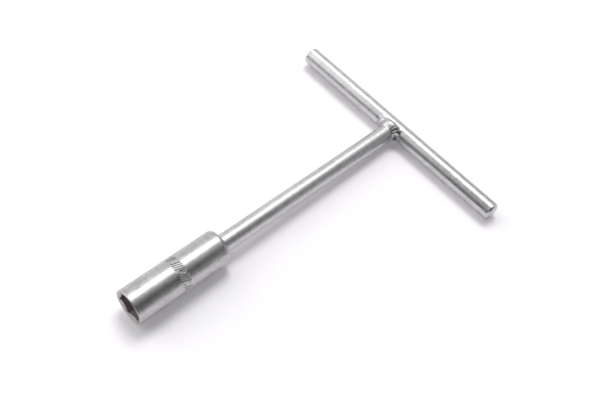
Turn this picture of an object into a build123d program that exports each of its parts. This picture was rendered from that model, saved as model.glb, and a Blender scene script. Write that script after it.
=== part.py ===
# Fixed T-handle socket wrench for 14 mm hexagon nuts and bolt heads, lying down.
# Millimetres, +Z up.  The origin is the centre of the socket's mouth.  The mouth faces -Y,
# the shank runs along +Y to the cross bar, and the bar's longer arm points along +X.

from build123d import *
from math import radians, tan
import os

# Cross bar
rod_diameter = 10.0                  # the bar and the shank are cut from the same rod
long_arm = 73.0                      # from the shank's axis to the bar's +X end
short_arm = 69.5                     # from the shank's axis to the bar's -X end
bar_chamfer = 1.0

# Shank
mouth_to_bar = 180.0                 # along the shank's axis, to the bar's axis
shank_chamfer = 0.8                  # at the end that is pressed into the socket
saddle_lip = 3.0                     # how far short of the bar's axis the coped end stops

# Socket
socket_diameter = 19.0
socket_length = 55.0
mouth_chamfer = 0.3
shoulder_radius = 2.0                # round at the edge of the rear face
nut_across_flats = 14.0
hex_play = 0.1                       # across the flats, so that the socket slips over the nut
hex_turn = 17.0                      # from +X to the first corner of the hexagon, in degrees
hex_depth = 24.0
lead_in_diameter = 18.0              # of the cone at the mouth
lead_in_angle = 120.0                # included angle of that cone
stud_bore_diameter = 12.0            # round bore behind the hexagon, for a bolt's free end
stud_bore_end = 36.0                 # depth of its full diameter, from the mouth
drill_point_angle = 118.0
pocket_depth = 12.0                  # press-fit pocket for the shank, in the rear face

# Weld bead between the shank and the bar
weld_centre_setback = 4.0            # from the bar's axis, towards the mouth
weld_half_width = 8.0                # along the bar
weld_half_length = 5.8               # along the shank
weld_half_height = 5.8               # stands 0.8 proud of the rods, above and below

rod_radius = rod_diameter / 2
socket_radius = socket_diameter / 2
pocket_floor = socket_length - pocket_depth


def rod_along_y(radius, start, end):
    """A round solid on the shank's axis, from y = start to y = end."""
    upright = Cylinder(radius, end - start, align=(Align.CENTER, Align.CENTER, Align.MIN))
    return Pos(0, start, 0) * Rot(-90, 0, 0) * upright


def cone_along_y(first_radius, last_radius, start, end):
    """A round tapered solid on the shank's axis, wide or narrow at y = start."""
    alignment = (Align.CENTER, Align.CENTER, Align.MIN)
    upright = Cone(first_radius, last_radius, end - start, align=alignment)
    return Pos(0, start, 0) * Rot(-90, 0, 0) * upright


def rod_along_x(radius, start, end):
    """A round solid on the cross bar's axis, from x = start to x = end."""
    upright = Cylinder(radius, end - start, align=(Align.CENTER, Align.CENTER, Align.MIN))
    return Pos(start, mouth_to_bar, 0) * Rot(0, 90, 0) * upright


def end_rims(solid, axis):
    """The first and the last circular edge of a round solid along an axis."""
    rims = solid.edges().filter_by(GeomType.CIRCLE).sort_by(axis)
    return rims[0], rims[-1]


def make_hex_recess():
    """The hexagon prism with its lead-in cone."""
    inradius = (nut_across_flats + hex_play) / 2
    outline = RegularPolygon(inradius, 6, major_radius=False, rotation=-hex_turn)
    mouth_plane = Plane(origin=(0, 0, 0), x_dir=(1, 0, 0), z_dir=(0, 1, 0))
    prism = extrude(mouth_plane * outline, hex_depth)
    lead_in_radius = lead_in_diameter / 2
    lead_in_depth = lead_in_radius / tan(radians(lead_in_angle / 2))
    lead_in = cone_along_y(lead_in_radius, 0, 0, lead_in_depth)
    return prism + lead_in


def make_stud_bore():
    """The drilled bore behind the hexagon, with its drill point."""
    radius = stud_bore_diameter / 2
    half_angle = Vector(0, 1, 0).rotate(Axis.Z, drill_point_angle / 2)
    point_length = radius * half_angle.Y / abs(half_angle.X)
    bore = rod_along_y(radius, 0, stud_bore_end)
    point = cone_along_y(radius, 0, stud_bore_end, stud_bore_end + point_length)
    return bore + point


def make_socket():
    """The socket: a turned cylinder, hollowed from the mouth and pocketed from the rear."""
    body = rod_along_y(socket_radius, 0, socket_length)
    mouth_rim, shoulder_rim = end_rims(body, Axis.Y)
    body = chamfer(mouth_rim, mouth_chamfer)
    mouth_rim, shoulder_rim = end_rims(body, Axis.Y)
    body = fillet(shoulder_rim, shoulder_radius)
    pocket = rod_along_y(rod_radius, pocket_floor, socket_length)
    return body - make_hex_recess() - make_stud_bore() - pocket


def make_cross_bar():
    """The cross bar: a length of rod, chamfered at both ends."""
    bar = rod_along_x(rod_radius, -short_arm, long_arm)
    return chamfer(end_rims(bar, Axis.X), bar_chamfer)


def make_shank(cross_bar):
    """The shank: pressed into the socket at one end, coped round the bar at the other."""
    shank = rod_along_y(rod_radius, pocket_floor, mouth_to_bar - saddle_lip)
    pressed_rim, saddle_rim = end_rims(shank, Axis.Y)
    return chamfer(pressed_rim, shank_chamfer) - cross_bar


def make_tee_weld(shank, cross_bar):
    """The weld bead: a flattened ball over the joint, less the two rods inside it."""
    ball = Sphere(1)
    bead = scale(ball, by=(weld_half_width, weld_half_length, weld_half_height))
    bead = Pos(0, mouth_to_bar - weld_centre_setback, 0) * bead
    return bead - shank - cross_bar


cross_bar = make_cross_bar()
shank = make_shank(cross_bar)
nodes = {
    "socket": make_socket(),
    "shank": shank,
    "cross_bar": cross_bar,
    "tee_weld": make_tee_weld(shank, cross_bar),
}

os.makedirs("parts", exist_ok=True)
for name, solid in nodes.items():
    export_step(solid, f"parts/{name}.step")
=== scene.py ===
from math import cos, radians, sin, tan

import bpy
import numpy as np
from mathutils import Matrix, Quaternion, Vector


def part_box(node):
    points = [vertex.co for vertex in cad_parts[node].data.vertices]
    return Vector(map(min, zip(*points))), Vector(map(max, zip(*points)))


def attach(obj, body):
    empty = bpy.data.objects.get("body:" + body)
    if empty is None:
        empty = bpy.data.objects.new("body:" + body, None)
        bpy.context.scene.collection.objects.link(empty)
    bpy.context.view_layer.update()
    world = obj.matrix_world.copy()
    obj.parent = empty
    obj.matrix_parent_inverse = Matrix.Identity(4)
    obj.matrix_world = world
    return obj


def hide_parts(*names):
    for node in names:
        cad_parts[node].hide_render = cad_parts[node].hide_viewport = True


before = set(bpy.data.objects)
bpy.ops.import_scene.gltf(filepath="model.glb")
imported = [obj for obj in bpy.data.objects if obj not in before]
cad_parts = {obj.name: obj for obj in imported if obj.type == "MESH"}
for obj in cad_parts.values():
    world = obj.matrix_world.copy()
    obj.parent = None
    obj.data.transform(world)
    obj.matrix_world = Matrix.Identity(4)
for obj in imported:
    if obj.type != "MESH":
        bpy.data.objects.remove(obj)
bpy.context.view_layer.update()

# T-handle socket wrench, lying down.  Metres: the mouth of the socket is at the origin and faces -Y,
# the shank runs along +Y, and the cross bar lies along X.
mm = 0.001


# sizes read from the frame
socketLow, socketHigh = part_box("socket")
barLow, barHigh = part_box("cross_bar")
socketRadius = (socketHigh.x - socketLow.x) / 2
socketLength = socketHigh.y
rodRadius = (barHigh.z - barLow.z) / 2
barY = (barLow.y + barHigh.y) / 2
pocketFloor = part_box("shank")[0].y
poleRadius = 0.2 * mm            # of the small ring round the middle of each flat end


def skin(name, rings, firstPole=None, lastPole=None, joined=False, sharpAngle=32.0, attributes=None):
    # rings[i, j] is the point at place i along the piece and j round it.  Each ring closes on itself.
    # The ends are closed by fans to the poles, or the last ring is joined to the first.
    ringCount, columnCount = rings.shape[:2]
    points = rings.reshape(-1, 3)
    number = np.arange(ringCount * columnCount).reshape(ringCount, columnCount)
    onward = np.roll(number, -1, axis=1)
    below, above = number[:-1], number[1:]
    belowOn, aboveOn = onward[:-1], onward[1:]
    if joined:
        below, above = number, np.roll(number, -1, axis=0)
        belowOn, aboveOn = onward, np.roll(onward, -1, axis=0)
    quads = np.stack([below, belowOn, aboveOn, above], axis=-1).reshape(-1, 4)
    fans = []
    if firstPole is not None:
        hub = np.full(columnCount, len(points))
        points = np.vstack([points, firstPole])
        fans.append(np.stack([hub, onward[0], number[0]], axis=-1))
    if lastPole is not None:
        hub = np.full(columnCount, len(points))
        points = np.vstack([points, lastPole])
        fans.append(np.stack([hub, number[-1], onward[-1]], axis=-1))
    corners = points[quads]
    firstEdge, secondEdge = corners[:, 2] - corners[:, 0], corners[:, 3] - corners[:, 1]
    volume = (np.cross(firstEdge, secondEdge) * (corners.mean(axis=1) - points.mean(axis=0))).sum()
    faces = quads.tolist() + [face for fan in fans for face in fan.tolist()]
    if volume < 0:
        faces = [face[::-1] for face in faces]
    mesh = bpy.data.meshes.new(name)
    mesh.from_pydata(points.tolist(), [], faces)
    mesh.polygons.foreach_set("use_smooth", np.ones(len(faces), dtype=bool))
    mesh.set_sharp_from_angle(angle=radians(sharpAngle))
    for label, values in (attributes or {}).items():
        padded = np.zeros(len(points), dtype=np.float32)
        padded[:values.size] = values.ravel()
        mesh.attributes.new(label, "FLOAT", "POINT").data.foreach_set("value", padded)
    mesh.update()
    piece = bpy.data.objects.new(name, mesh)
    bpy.context.scene.collection.objects.link(piece)
    return piece


def easedOutline(corners, steps=5):
    # A line through corners of (along, radius, ease): each corner is cut back by its ease and
    # replaced by a quadratic curve.  A guard point beyond each end of the curve keeps the shading flat.
    # An ease of 0 leaves the corner as it is.
    places = np.array([corner[:2] for corner in corners], dtype=float)
    line = [places[:1]]
    for before, here, after, corner in zip(places, places[1:], places[2:], corners[1:-1]):
        ease = corner[2]
        if ease == 0:
            line.append(here[None])
            continue
        inward = (before - here) / np.linalg.norm(before - here)
        outward = (after - here) / np.linalg.norm(after - here)
        share = np.linspace(0, 1, steps)[:, None]
        start, end = here + inward * ease, here + outward * ease
        curve = (1 - share) ** 2 * start + 2 * share * (1 - share) * here + share ** 2 * end
        line += [start[None] + inward * ease * 0.5, curve, end[None] + outward * ease * 0.5]
    line.append(places[-1:])
    return np.vstack(line)


def turnedAboutShank(along, radius, angle):
    # Points at a distance along Y, a radius from the shank's axis and an angle from +X towards +Z.
    return np.stack([radius * np.cos(angle), along + 0 * angle, radius * np.sin(angle)], axis=-1)


def smoothStep(low, high, value):
    share = np.clip((value - low) / (high - low), 0, 1)
    return share * share * (3 - 2 * share)


socketSettings = {
    "columns": 600,              # a multiple of 6, because columns fall on the hexagon's corners
    "acrossFlats": 14.1 * mm,
    "hexTurn": 17.0,             # degrees from +X to the first corner
    "hexDepth": 24.0 * mm,
    "leadInRadius": 9.0 * mm,
    "leadInAngle": 120.0,
    "studBoreRadius": 6.0 * mm,
    "studBoreEnd": 36.0 * mm,
    "drillPoint": 3.6 * mm,
    "mouthChamfer": 0.3 * mm,
    "mouthEases": (0.08 * mm, 0.08 * mm, 0.05 * mm),   # at the chamfer's two edges and the cone's edge
    "coneStart": 0.35 * mm,      # how far inside its edge the cone has its first ring
    "rimEdge": (0.15 * mm, 0.02 * mm),     # the hollow's finish ends between these, inside the cone's edge
    "flatsEdge": (0.08 * mm, 0.6 * mm),    # and turns dull between these, past the cone
    "pocketEdge": (2 * mm, 1 * mm),        # and ends between these, before the shank's pocket
    "shoulder": 2.0 * mm,
    "shoulderEase": 1.12,        # in shoulders, because the curve cuts a corner less than an arc does
    "stampMiddle": 28.2 * mm,    # along the socket
    "stampHeight": 4.7 * mm,
    "stampPitch": 2.3 * mm,      # from mark to mark, round the socket
    "stampTurn": 65.0,           # angle of the middle of the row of marks
    "stampStroke": 0.55 * mm,
    "stampDepth": 0.22 * mm,
    "stampFade": (0.1 * mm, 0.5 * mm),   # the marks end between these distances past their height
    "stampWall": (0.45, 1.25),   # the marks' sloping sides, in half strokes from the centre line
    "burr": (1.6, 0.5, 0.32),    # its place and width in half strokes, and its share of the depth
    "stampMargin": 0.6 * mm,     # plain metal on each side of the marks that shares their fine rings
    "stampRings": 64,
    "guard": 0.4 * mm,           # one more ring this far outside those, to keep the shading flat
    "stampRow": (
        "hatch", "hatch", "dots", "hatch", "hatch", "hexagon",
        "hatch", "hatch", "dots", "hatch", "hatch",
    ),
}


def strokeDistance(kind, across, up, half):
    # Distance of each point from the centre line of one mark, whose half height is half.
    if kind == "dots":
        dotHeight = 0.62 * half
        return np.hypot(across, np.abs(up) - dotHeight)
    if kind == "hatch":
        # two strokes side by side: the distance across a leaning line is its level distance times
        # the cosine of the lean
        lean, leanCosine, apart = 0.35, 0.94, 0.28 * half
        leaned = across - lean * up
        return np.hypot(leanCosine * (np.abs(leaned) - apart), np.maximum(np.abs(up) - half, 0))
    # a tall hexagon: the farther of two flats and four slopes, scaled to be about a true distance
    narrow, trueScale = 0.42, 0.6
    flats = np.abs(across) / narrow
    slopes = np.abs(across) / (2 * narrow) + np.abs(up)
    return np.abs(np.maximum(flats, slopes) - half) * trueScale


def stampedDepth(angle, along, s):
    # Depth of the marks: full near a mark's line, fading to nothing past half a stroke from it, less a
    # low raised burr, exp(-((distance - place) / width)^2), round it.
    turn = np.angle(np.exp(1j * (radians(s["stampTurn"]) - angle)))
    across, up = turn * socketRadius, along - s["stampMiddle"]
    half = s["stampHeight"] / 2 - s["stampStroke"] / 2
    nearest = np.full(across.shape, 1.0)
    fadeStart, fadeEnd = (s["stampHeight"] / 2 + fade for fade in s["stampFade"])
    window = 1 - smoothStep(fadeStart, fadeEnd, np.abs(up))
    for place, kind in enumerate(s["stampRow"]):
        middle = (place - (len(s["stampRow"]) - 1) / 2) * s["stampPitch"]
        nearest = np.minimum(nearest, strokeDistance(kind, across - middle, up, half))
    stroke = s["stampStroke"] / 2
    wallStart, wallEnd = s["stampWall"]
    pressed = window * (1 - smoothStep(stroke * wallStart, stroke * wallEnd, nearest))
    burrPlace, burrWidth, burrShare = s["burr"]
    burr = window * np.exp(-((nearest - stroke * burrPlace) / (stroke * burrWidth)) ** 2)
    return pressed, pressed * s["stampDepth"] - burr * s["stampDepth"] * burrShare


def makeSocket(s):
    # Turned outside, and inside a hexagon of radius f / cos(a), where f is half the width across flats
    # and a the angle from a flat's middle.  The lead-in cone meets it at a depth of
    # (cone's radius - that radius) / tan(half the cone's angle).
    angle = radians(s["hexTurn"]) + np.arange(s["columns"]) * 2 * np.pi / s["columns"]
    steepness = 1 / tan(radians(s["leadInAngle"] / 2))
    coneStart = s["coneStart"]
    outerEase, innerEase, coneEase = s["mouthEases"]
    stampLow = s["stampMiddle"] - s["stampHeight"] / 2 - s["stampMargin"]
    stampHigh = s["stampMiddle"] + s["stampHeight"] / 2 + s["stampMargin"]
    rear = easedOutline([
        (pocketFloor, poleRadius, 0),
        (pocketFloor, rodRadius, 0.1 * mm),
        (socketLength, rodRadius, 0.15 * mm),
        (socketLength, socketRadius, s["shoulder"] * s["shoulderEase"]),
        (stampHigh + s["guard"], socketRadius, 0),
        (stampHigh, socketRadius, 0),
    ], steps=9)
    band = np.linspace(stampHigh, stampLow, s["stampRings"])[1:-1]
    band = np.stack([band, np.full(band.shape, socketRadius)], axis=-1)
    front = easedOutline([
        (stampLow, socketRadius, 0),
        (stampLow - s["guard"], socketRadius, 0),
        (s["mouthChamfer"], socketRadius, outerEase),
        (0.0, socketRadius - s["mouthChamfer"], innerEase),
        (0.0, s["leadInRadius"], coneEase),
        (coneStart * steepness, s["leadInRadius"] - coneStart, 0),
    ])
    outline = np.vstack([rear, band, front])
    along = np.repeat(outline[:, :1], s["columns"], axis=1)
    radius = np.repeat(outline[:, 1:], s["columns"], axis=1)
    pressed, depth = stampedDepth(angle[None], along, s)
    onBand = (radius > socketRadius * 0.999) & (along > stampLow) & (along < stampHigh)
    radius = radius - np.where(onBand, depth, 0)
    pressed = np.where(onBand, pressed, 0)
    sixth = np.pi / 3
    fromFlat = np.mod(angle - radians(s["hexTurn"]), sixth) - sixth / 2
    flats = s["acrossFlats"] / 2 / np.cos(fromFlat)
    meeting = (s["leadInRadius"] - flats) * steepness
    rounds = np.ones(s["columns"])
    # rings half way down the cone and just before its meeting with the flats, then just past it
    inner = [(meeting * share + coneStart * steepness * (1 - share),
              flats * share + (s["leadInRadius"] - coneStart) * (1 - share)) for share in (0.5, 0.94)]
    inner += [(meeting + 0.06 * mm, flats), (meeting + 0.3 * mm, flats)]
    inner += [(rounds * depthHere, flats) for depthHere in (6 * mm, s["hexDepth"] - 0.2 * mm, s["hexDepth"])]
    bore = s["studBoreRadius"]
    inner += [(rounds * s["hexDepth"], rounds * bore), (rounds * s["studBoreEnd"], rounds * bore)]
    tipShare = 0.03              # the last ring's share of the bore, just before the drill point's tip
    inner += [(rounds * (s["studBoreEnd"] + s["drillPoint"] * (1 - tipShare)), rounds * bore * tipShare)]
    innerAlong, innerRadius = np.array(inner).transpose(1, 0, 2)
    along, radius = np.vstack([along, innerAlong]), np.vstack([radius, innerRadius])
    pressed = np.vstack([pressed, 0 * innerAlong])
    rings = turnedAboutShank(along, radius, angle[None])
    tip = (0, s["studBoreEnd"] + s["drillPoint"], 0)
    piece = skin("socketBody", rings, (0, pocketFloor, 0), tip, attributes={"pressed": pressed})
    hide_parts("socket")
    return piece


shankSettings = {
    "columns": 160,
    "pressedChamfer": 0.8 * mm,
    "saddleLip": 3.0 * mm,       # how far before the bar's middle the end stops, inside the bar
    "saddleStart": 1.6,          # in rod radii before the bar's middle
    "saddleRings": 16,
    "saddleTip": 0.04,           # share of the radius of the last ring
}


def makeShank(s):
    # A turned rod.  Its far end is hollowed by the cross bar: at radius r and angle a the end lies
    # where the bar's surface is, at barY - sqrt(rodRadius^2 - (r sin a)^2), but not past the lip.
    angle = np.arange(s["columns"]) * 2 * np.pi / s["columns"]
    outline = easedOutline([
        (pocketFloor, poleRadius, 0),
        (pocketFloor, rodRadius - s["pressedChamfer"], 0.1 * mm),
        (pocketFloor + s["pressedChamfer"], rodRadius, 0.1 * mm),
        (barY - rodRadius * s["saddleStart"], rodRadius, 0),
    ])
    along = np.repeat(outline[:, :1], s["columns"], axis=1)
    radius = np.repeat(outline[:, 1:], s["columns"], axis=1)
    shares = np.linspace(1, s["saddleTip"], s["saddleRings"])
    inward = rodRadius * shares[:, None] * np.ones(s["columns"])
    height = inward * np.sin(angle)
    saddle = barY - np.sqrt(np.maximum(rodRadius ** 2 - height ** 2, 0))
    saddle = np.minimum(saddle, barY - s["saddleLip"])
    rings = turnedAboutShank(np.vstack([along, saddle]), np.vstack([radius, inward]), angle[None])
    piece = skin("shankRod", rings, (0, pocketFloor, 0), (0, barY - rodRadius, 0))
    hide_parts("shank")
    return piece


barSettings = {
    "columns": 160,
    "chamfer": 1.0 * mm,
    "edgeEase": 0.15 * mm,
}


def makeCrossBar(s):
    # A turned rod along X, chamfered at both ends, with the edges of the chamfers eased.
    angle = np.arange(s["columns"]) * 2 * np.pi / s["columns"]
    left, right, chamfer, ease = barLow.x, barHigh.x, s["chamfer"], s["edgeEase"]
    outline = easedOutline([
        (left, poleRadius, 0),
        (left, rodRadius - chamfer, ease),
        (left + chamfer, rodRadius, ease),
        (right - chamfer, rodRadius, ease),
        (right, rodRadius - chamfer, ease),
        (right, poleRadius, 0),
    ])
    along, radius = outline[:, :1], outline[:, 1:]
    rings = np.stack([along + 0 * angle, barY + radius * np.cos(angle), radius * np.sin(angle)], axis=-1)
    piece = skin("crossBarRod", rings, (left, barY, 0), (right, barY, 0))
    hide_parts("cross_bar")
    return piece


weldSettings = {
    "columns": 560,
    "rows": 72,
    "inset": 1.5 * mm,           # how deep inside the rods the bead's rays start
    "run": 0.8 * mm,             # how far past its feet the bead goes on, just under the rods' surfaces
    "sink": 0.03 * mm,
    "topOfSeam": 3.4 * mm,       # how far before the bar's middle the bead crosses the top
    "feet": (                    # angle round the shank, reach of the bead from the corner, its hump
        (-90, 2.6 * mm, 0.10 * mm),
        (-35, 2.1 * mm, 0.10 * mm),
        (5, 2.4 * mm, 0.50 * mm),
        (45, 3.0 * mm, 0.75 * mm),
        (95, 3.8 * mm, 0.40 * mm),
        (140, 4.6 * mm, 0.15 * mm),
        (180, 4.8 * mm, 0.0 * mm),
        (225, 4.4 * mm, 0.0 * mm),
        (270, 2.6 * mm, 0.10 * mm),
    ),
    "barWrap": 0.42,             # how much farther round the bar the rays aim at the top, in radians
    "barSpread": 1.6,            # how fast their aim moves out along the bar on each side
    "fanLift": 0.8,              # how far out of the corner the middle rays aim, in reaches
    "rayLength": 14 * mm,
    "halvings": 34,
    "topFade": (3.6 * mm, 0.7 * mm),   # the bead dies out between these distances before the bar's middle
    "ripples": 26,               # round the whole bead
    "rippleBow": 0.55,           # how far each ripple bows, in ripples
    "rippleCurve": 1.6,          # each ripple rises as this power of the way along it
    "rippleDrop": 0.86,          # and drops after this share of its length
    "rippleBase": 0.3,           # share of the ripples' height that lies below the bead
    "grooveWidth": 0.16,         # in ripples
    "rippleHeight": 0.50 * mm,
    "rippleMiddle": 28.0,        # the ripples are strongest at this angle
    "rippleSpread": 50.0,
    "toePlace": 0.72,            # the line of painted shade along the bar, 0 in the corner and 1 at the bead's reach
    "toeWidth": 0.13,
    "lumps": (                   # angle, place across (-1 on the shank, 1 on the bar), two sizes, height
        (108, -0.35, 34, 0.60, 0.45 * mm),
        (-48, -0.08, 24, 0.80, 0.40 * mm),
        (30, 0.15, 10, 0.40, 0.20 * mm),
        (60, -0.30, 12, 0.40, 0.20 * mm),
        (215, 0.10, 30, 0.50, 0.20 * mm),
    ),
}


def easedRound(angle, stops):
    # Values given at a few angles, eased from each to the next.
    turned = np.mod(angle - radians(stops[0][0]), 2 * np.pi) + radians(stops[0][0])
    result = np.zeros(turned.shape)
    for (startDegrees, start), (endDegrees, end) in zip(stops, stops[1:]):
        startAngle, endAngle = radians(startDegrees), radians(endDegrees)
        inside = (turned >= startAngle) & (turned <= endAngle)
        eased = start + (end - start) * smoothStep(startAngle, endAngle, turned)
        result = np.where(inside, eased, result)
    return result


def turnFrom(angle, degrees):
    return np.angle(np.exp(1j * (angle - radians(degrees))))


def beadHeight(s, angle, reach, hump, fromShank, fromBar, y):
    # Height of the bead over the nearer rod, from the distances a to the shank and b to the bar:
    # (k - |a - b|)^2 / 4k rounds off the corner within the reach k, and a hump, ripples and lumps
    # stand on it, times 1 - ((a - b) / k)^2.  The last value is 1 in the grooves between ripples and
    # along the toe, where the bead runs out on the bar.
    across = (fromShank - fromBar) / reach
    within = np.clip(1 - across ** 2, 0, 1)
    phase = np.mod(s["ripples"] * angle / (2 * np.pi) + s["rippleBow"] * across ** 2, 1)
    near = np.exp(-(turnFrom(angle, s["rippleMiddle"]) / radians(s["rippleSpread"])) ** 2)
    ripple = phase ** s["rippleCurve"] * (1 - smoothStep(s["rippleDrop"], 1, phase)) - s["rippleBase"]
    raised = hump + s["rippleHeight"] * near * ripple
    for lumpAngle, place, width, span, height in s["lumps"]:
        off = turnFrom(angle, lumpAngle) / radians(width)
        raised = raised + height * np.exp(-off ** 2 - ((across - place) / span) ** 2)
    corner = np.maximum(reach - np.abs(fromShank - fromBar), 0) ** 2 / (4 * reach)
    fadeStart, fadeEnd = s["topFade"]
    fade = 1 - smoothStep(barY - fadeStart, barY - fadeEnd, y)
    # where the weld gets painted shade and more roughness: in its grooves and along its toe
    groove = np.exp(-(np.minimum(phase, 1 - phase) / s["grooveWidth"]) ** 2) * near * within
    toe = np.exp(-((across - s["toePlace"]) / s["toeWidth"]) ** 2)
    return (corner + raised * within) * fade, np.maximum(groove, toe) * fade


def makeWeld(s):
    # At each angle round the shank, rays fan out from a point under the seam where shank meets bar,
    # towards a quadratic curve from a place on the shank to a place on the bar.  Along each ray the
    # bead's surface is found by halving: where the nearer rod is as far away as the bead is high.
    angle = (np.arange(s["columns"]) * 2 * np.pi / s["columns"])[None]
    share = np.linspace(0, 1, s["rows"])[:, None, None]
    side, rise = np.cos(angle), np.sin(angle)
    reach = easedRound(angle, [(stop[0], stop[1]) for stop in s["feet"]])
    hump = easedRound(angle, [(stop[0], stop[2]) for stop in s["feet"]])
    beyond = rodRadius + reach + s["run"]
    seamY = barY - np.hypot(rodRadius * side, s["topOfSeam"] * rise)
    seam = np.stack([rodRadius * side, seamY, rodRadius * rise], axis=-1)
    halfTurn = (np.pi - np.arctan2(np.abs(side), rise ** 2)) / 2
    outward = np.stack([np.sin(halfTurn) * side, -np.cos(halfTurn), np.sin(halfTurn) * rise], axis=-1)
    pivot = seam - outward * s["inset"]
    onShankY = barY - np.sqrt(beyond ** 2 - (rodRadius * rise) ** 2)
    onShank = np.stack([rodRadius * side, onShankY, rodRadius * rise], axis=-1)
    barTurn = np.arcsin(np.abs(rise)) + s["barWrap"] * rise ** 2
    onBarZ = rodRadius * np.sin(barTurn) * np.sign(rise)
    onBarX = np.clip(s["barSpread"] * side, -1, 1) * np.sqrt(beyond ** 2 - onBarZ ** 2)
    onBar = np.stack([onBarX, barY - rodRadius * np.cos(barTurn), onBarZ], axis=-1)
    lifted = seam + outward * reach[..., None] * s["fanLift"]
    target = (1 - share) ** 2 * onShank + 2 * share * (1 - share) * lifted + share ** 2 * onBar
    rays = target - pivot
    rays = rays / np.linalg.norm(rays, axis=-1, keepdims=True)
    near, far = np.zeros(rays.shape[:2]), np.full(rays.shape[:2], s["rayLength"])
    for _ in range(s["halvings"]):
        length = (near + far) / 2
        point = pivot + rays * length[..., None]
        fromShank = np.hypot(point[..., 0], point[..., 2]) - rodRadius
        fromShank = np.maximum(fromShank, point[..., 1] - barY)
        fromBar = np.hypot(point[..., 1] - barY, point[..., 2]) - rodRadius
        height, groove = beadHeight(s, angle, reach, hump, fromShank, fromBar, point[..., 1])
        outside = np.minimum(fromShank, fromBar) > height
        near, far = np.where(outside, near, length), np.where(outside, length, far)
    surface = pivot + rays * (length - s["sink"])[..., None]
    rings = np.concatenate([pivot, surface], axis=0)
    grooves = np.concatenate([0 * angle, groove], axis=0)
    piece = skin("weldBead", rings, joined=True, sharpAngle=60.0, attributes={"crevice": grooves})
    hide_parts("tee_weld")
    return piece


class Wire:
    # One shader socket.  Sums and products of wires and numbers add Math nodes.
    def __init__(self, maker, socket):
        self.maker = maker
        self.socket = socket

    def math(self, operation, first, second):
        return self.maker.add("ShaderNodeMath", {"operation": operation}, {0: first, 1: second})

    def __add__(self, other):
        return self.math("ADD", self, other)

    def __radd__(self, other):
        return self.math("ADD", other, self)

    def __sub__(self, other):
        return self.math("SUBTRACT", self, other)

    def __rsub__(self, other):
        return self.math("SUBTRACT", other, self)

    def __mul__(self, other):
        return self.math("MULTIPLY", self, other)

    def __rmul__(self, other):
        return self.math("MULTIPLY", other, self)

    def __pow__(self, other):
        return self.math("POWER", self, other)


class NodeMaker:
    # Adds nodes to one tree: type, then settings, then the values or wires of its sockets.
    def __init__(self, tree):
        self.tree = tree
        tree.nodes.clear()

    def add(self, kind, settings, sockets, output=0):
        node = self.tree.nodes.new(kind)
        for key, value in settings.items():
            setattr(node, key, value)
        # a node may hold several sockets of one name, and only the enabled ones count
        inputs = {socket.name: socket for socket in node.inputs if socket.enabled}
        outputs = {socket.name: socket for socket in node.outputs if socket.enabled}
        for key, value in sockets.items():
            socket = node.inputs[key] if isinstance(key, int) else inputs[key]
            if isinstance(value, Wire):
                self.tree.links.new(value.socket, socket)
            else:
                socket.default_value = value
        if not node.outputs:
            return None
        return Wire(self, node.outputs[output] if isinstance(output, int) else outputs[output])

    def place(self, scale=(1, 1, 1)):
        here = self.add("ShaderNodeTexCoord", {}, {}, "Object")
        return self.add("ShaderNodeMapping", {}, {"Vector": here, "Scale": scale})

    def split(self, vector):
        node = self.tree.nodes.new("ShaderNodeSeparateXYZ")
        self.tree.links.new(vector.socket, node.inputs[0])
        return [Wire(self, socket) for socket in node.outputs]

    def noise(self, scale, size, detail=3.0, roughness=0.5):
        sockets = {"Vector": self.place(scale), "Scale": 1 / size, "Detail": detail, "Roughness": roughness}
        return self.add("ShaderNodeTexNoise", {}, sockets, 0)

    def step(self, value, low, high):
        sockets = {"Value": value, "From Min": low, "From Max": high}
        return self.add("ShaderNodeMapRange", {"interpolation_type": "SMOOTHSTEP"}, sockets)

    def mixColour(self, factor, first, second):
        sockets = {"Factor": factor, "A": first, "B": second}
        return self.add("ShaderNodeMix", {"data_type": "RGBA"}, sockets, "Result")


chromeSettings = {
    "light": (0.632, 0.624, 0.634, 1),
    "dark": (0.518, 0.509, 0.523, 1),
    # dark grey painted as shade into the stamp marks and into the weld's grooves and toe
    "paintedShade": (0.060, 0.045, 0.042, 1),
    "rustDark": (0.245, 0.195, 0.192, 1),
    "rustLight": (0.455, 0.39, 0.382, 1),
    "grain": 0.16 * mm,          # size of the plating's fine grain
    "pebble": 2.2 * mm,          # size of the low, cloudy waves under it
    "streak": 0.5 * mm,          # width of the polishing streaks
    "streakDraw": 0.06,          # how far the streaks are drawn out, as a share of their width
    "cloud": 9 * mm,             # size of the widest changes in tint and roughness
    "tintShares": (0.25, 0.25, 0.5),       # of cloud, streak and pebble
    "tintEdges": (0.38, 0.62),
    "roughSpread": 0.12,
    "bumpHeight": 0.01 * mm,
    "rustSize": 2.0 * mm,
    "rustDulls": 0.75,           # share of the metal's shine that rust takes away
    "rustRough": 0.16,
    "coneRust": 0.5,             # share of rust on the lead-in cone
    # share of painted shade in the stamp marks
    "stampPaintedShade": 0.35,
    "stampRough": 0.08,
    # share of painted shade in the weld's grooves and along its toe
    "seamPaintedShade": 0.45,
    "seamRough": 0.15,
}


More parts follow.
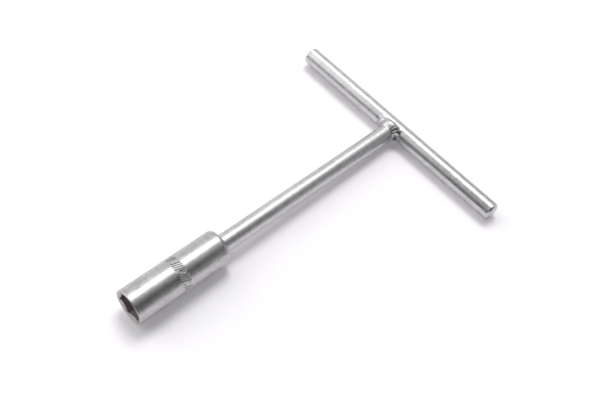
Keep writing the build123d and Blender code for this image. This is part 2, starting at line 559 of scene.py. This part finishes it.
def satinChrome(name, axis, look, shading=None):
    # Satin chrome plate: cloudy tint and roughness, fine grain, low waves, and streaks drawn out along axis.
    c = chromeSettings
    material = bpy.data.materials.new(name)
    material.use_nodes = True
    maker = NodeMaker(material.node_tree)
    drawn = tuple(c["streakDraw"] if letter == axis else 1 for letter in "XYZ")
    cloud = maker.noise((1, 1, 1), c["cloud"], detail=4)
    streak = maker.noise(drawn, c["streak"], detail=3)
    pebble = maker.noise((1, 1, 1), c["pebble"], detail=3, roughness=0.6)
    grain = maker.noise((1, 1, 1), c["grain"], detail=2, roughness=0.6)
    light, dark = (tuple(part * look["tone"] for part in c[key][:3]) + (1,) for key in ("light", "dark"))
    cloudShare, streakShare, pebbleShare = c["tintShares"]
    tint = maker.step(cloud * cloudShare + streak * streakShare + pebble * pebbleShare, *c["tintEdges"])
    colour = maker.mixColour(tint, dark, light)
    rough = look["roughness"] + (cloud - 0.5) * c["roughSpread"] + (pebble - 0.5) * c["roughSpread"]
    height = grain * look["grain"] + streak * look["streak"] + pebble * look["pebble"]
    sockets = {"Metallic": 1.0}
    if shading is not None:
        colour, rough = shading(maker, colour, rough, sockets)
    bump = {"Height": height, "Strength": 1.0, "Distance": c["bumpHeight"]}
    normal = maker.add("ShaderNodeBump", {}, bump, "Normal")
    sockets.update({"Base Color": colour, "Roughness": rough, "Normal": normal})
    shader = maker.add("ShaderNodeBsdfPrincipled", {}, sockets, "BSDF")
    maker.add("ShaderNodeOutputMaterial", {}, {"Surface": shader})
    return material


def socketShading(maker, colour, rough, sockets):
    # The marks get a little painted shade in their hollows.  Past the lead-in cone, where the distance along
    # times the tangent of half its angle plus the radius is more than the cone's own radius, the steel is
    # brown and dull.
    c, s = chromeSettings, socketSettings
    x, y, z = maker.split(maker.place())
    radius = (x * x + z * z) ** 0.5
    rimInner, rimOuter = (s["leadInRadius"] - inset for inset in s["rimEdge"])
    pocketNear, pocketFar = (pocketFloor - before for before in s["pocketEdge"])
    hollow = 1 - maker.step(radius, rimInner, rimOuter)
    hollow = hollow * (1 - maker.step(y, pocketNear, pocketFar))
    coned = y * tan(radians(s["leadInAngle"] / 2)) + radius
    dullStart, dullEnd = (s["leadInRadius"] + past for past in s["flatsEdge"])
    pastCone = maker.step(coned, dullStart, dullEnd)
    inside = hollow * pastCone
    rust = maker.noise((1, 0.3, 1), c["rustSize"], detail=5)
    brown = maker.mixColour(rust, c["rustDark"], c["rustLight"])
    pressed = maker.add("ShaderNodeAttribute", {"attribute_name": "pressed"}, {}, "Fac")
    # painted shade: the marks' hollows are darkened towards a dark grey, where shade would fall
    colour = maker.mixColour(pressed * c["stampPaintedShade"], colour, c["paintedShade"])
    colour = maker.mixColour(hollow * c["coneRust"], colour, brown)
    colour = maker.mixColour(inside, colour, brown)
    sockets["Metallic"] = 1 - inside * c["rustDulls"]
    return colour, rough + inside * c["rustRough"] + pressed * c["stampRough"]


def weldShading(maker, colour, rough, sockets):
    # Painted shade: the colour is darkened towards a dark grey in the grooves between the ripples and along
    # the toe.
    c = chromeSettings
    crevice = maker.add("ShaderNodeAttribute", {"attribute_name": "crevice"}, {}, "Fac")
    # painted shade in the weld's grooves and along its toe
    colour = maker.mixColour(crevice * c["seamPaintedShade"], colour, c["paintedShade"])
    return colour, rough + crevice * c["seamRough"]


studio = {
    "aim": (0.0040, 0.1049, 0.0),
    "azimuth": 39.44,            # 0 looks along +Y, 90 along -X
    "elevation": 54.29,
    "distance": 0.4534,
    "roll": 10.24,
    "lens": 52.54,
    "keyAzimuth": 131.0,         # direction of the main light, from +X towards +Y
    "keyElevation": 66.5,
    "lamps": (                   # width in degrees, strength, and whether it shows in the chrome
        ("key", 30.0, 0.70, True),
        ("paperFill", 24.0, 0.72, False),
    ),
    "skyBright": 0.85,
    "skyDark": 0.08,
    "skyTurn": 170.0,            # direction of the bright walls
    "skyEdges": (0.02, 0.62),    # cosines from that direction where the walls darken and brighten
    "blobs": (                   # soft patches: azimuth, elevation, cosines of rim and core, strength
        (136.0, 66.0, 0.72, 0.98, 0.17),
        (75.0, 62.0, 0.86, 0.99, 0.50),
        (-150.0, 36.0, 0.82, 0.94, 1.0),
        (50.0, 8.0, 0.79, 0.985, 0.55),
    ),
    "backdrop": 1.15,
    "floorSize": 14.0,
    "floorGap": 0.08 * mm,
    "paper": (0.935, 0.918, 0.940, 1),
    "paperGlow": 0.16,           # the table is lit a little from below
}


def makeCamera(s):
    # The camera looks at the aim point from an azimuth and an elevation, then rolls about its own axis.
    a, e = radians(s["azimuth"]), radians(s["elevation"])
    back = Vector((sin(a) * cos(e), -cos(a) * cos(e), sin(e)))
    camera = bpy.data.objects.new("camera", bpy.data.cameras.new("camera"))
    camera.data.lens = s["lens"]
    camera.data.sensor_width = 36.0
    camera.data.clip_start, camera.data.clip_end = 0.01, 60.0
    camera.rotation_mode = "QUATERNION"
    camera.location = Vector(s["aim"]) + back * s["distance"]
    roll = Quaternion((0, 0, 1), radians(s["roll"]))
    camera.rotation_quaternion = (-back).to_track_quat("-Z", "Y") @ roll
    bpy.context.scene.collection.objects.link(camera)
    bpy.context.scene.camera = camera


def makeFloor(s):
    # The tool rests on the socket's rear edge and on the weld, so the floor slopes from one to the other.
    weldLow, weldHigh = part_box("tee_weld")
    restSocket = socketLength - socketSettings["shoulder"]
    restWeld = (weldLow.y + weldHigh.y) / 2
    slope = (socketRadius + weldLow.z) / (restWeld - restSocket)
    across = np.array([-1, 1, 1, -1]) * s["floorSize"] / 2
    along = np.array([-1, -1, 1, 1]) * s["floorSize"] / 2
    height = -socketRadius + slope * (along - restSocket) - s["floorGap"]
    mesh = bpy.data.meshes.new("floor")
    mesh.from_pydata(np.stack([across, along, height], axis=-1).tolist(), [], [(0, 1, 2, 3)])
    floor = bpy.data.objects.new("floor", mesh)
    bpy.context.scene.collection.objects.link(floor)
    material = bpy.data.materials.new("paper")
    material.use_nodes = True
    shader = material.node_tree.nodes["Principled BSDF"]
    shader.inputs["Base Color"].default_value = s["paper"]
    shader.inputs["Emission Color"].default_value = s["paper"]
    shader.inputs["Emission Strength"].default_value = s["paperGlow"]
    shader.inputs["Roughness"].default_value = 1.0
    shader.inputs["Specular IOR Level"].default_value = 0.0
    mesh.materials.append(material)


def skyDirection(azimuth, elevation):
    a, e = radians(azimuth), radians(elevation)
    return Vector((cos(a) * cos(e), sin(a) * cos(e), sin(e)))


def makeLights(s):
    toKey = skyDirection(s["keyAzimuth"], s["keyElevation"])
    for name, spread, power, inChrome in s["lamps"]:
        light = bpy.data.lights.new(name, "SUN")    # a far soft box, so that the paper is evenly lit
        light.angle = radians(spread)
        light.energy = power
        lamp = bpy.data.objects.new(name, light)
        lamp.rotation_mode = "QUATERNION"
        lamp.rotation_quaternion = (-toKey).to_track_quat("-Z", "Y")
        lamp.visible_glossy = inChrome
        bpy.context.scene.collection.objects.link(lamp)
    # the room: bright walls on the key's side, fading to a dim room on the other side
    world = bpy.data.worlds.new("room")
    world.use_nodes = True
    bpy.context.scene.world = world
    maker = NodeMaker(world.node_tree)
    direction = maker.add("ShaderNodeTexCoord", {}, {}, "Generated")

    def towards(azimuth, elevation):
        sockets = {0: direction, 1: skyDirection(azimuth, elevation)}
        return maker.add("ShaderNodeVectorMath", {"operation": "DOT_PRODUCT"}, sockets, "Value")

    facing = maker.step(towards(s["skyTurn"], 0), *s["skyEdges"])
    strength = s["skyDark"] + (s["skyBright"] - s["skyDark"]) * facing
    for azimuth, elevation, rim, core, power in s["blobs"]:
        strength = strength + power * maker.step(towards(azimuth, elevation), rim, core)
    seen = maker.add("ShaderNodeLightPath", {}, {}, "Is Camera Ray")
    strength = strength * (1 - seen) + s["backdrop"] * seen
    background = maker.add("ShaderNodeBackground", {}, {"Color": (1, 1, 1, 1), "Strength": strength})
    maker.add("ShaderNodeOutputWorld", {}, {"Surface": background})


makeCamera(studio)
makeFloor(studio)
makeLights(studio)
bpy.context.scene.view_settings.view_transform = "Standard"
print("studio ready")

socketLook = {"tone": 0.87, "roughness": 0.33, "grain": 1.0, "streak": 0.6, "pebble": 5.0}
shankLook = {"tone": 1.0, "roughness": 0.37, "grain": 1.0, "streak": 0.4, "pebble": 9.0}
barLook = {"tone": 1.0, "roughness": 0.30, "grain": 1.0, "streak": 0.3, "pebble": 6.0}
weldLook = {"tone": 0.95, "roughness": 0.28, "grain": 1.0, "streak": 0.3, "pebble": 2.5}

socketChrome = satinChrome("socketChrome", "Y", socketLook, socketShading)
shankChrome = satinChrome("shankChrome", "Y", shankLook)
barChrome = satinChrome("barChrome", "X", barLook)
weldChrome = satinChrome("weldChrome", "Y", weldLook, weldShading)

pieces = [
    (makeSocket(socketSettings), socketChrome, "socket_chrome"),
    (makeShank(shankSettings), shankChrome, "rod_chrome"),
    (makeCrossBar(barSettings), barChrome, "rod_chrome"),
    (makeWeld(weldSettings), weldChrome, "weld_chrome"),
]
for piece, material, slotName in pieces:
    piece.data.materials.append(material)
    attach(piece, "root")
    print(piece.name, len(piece.data.polygons), "faces")
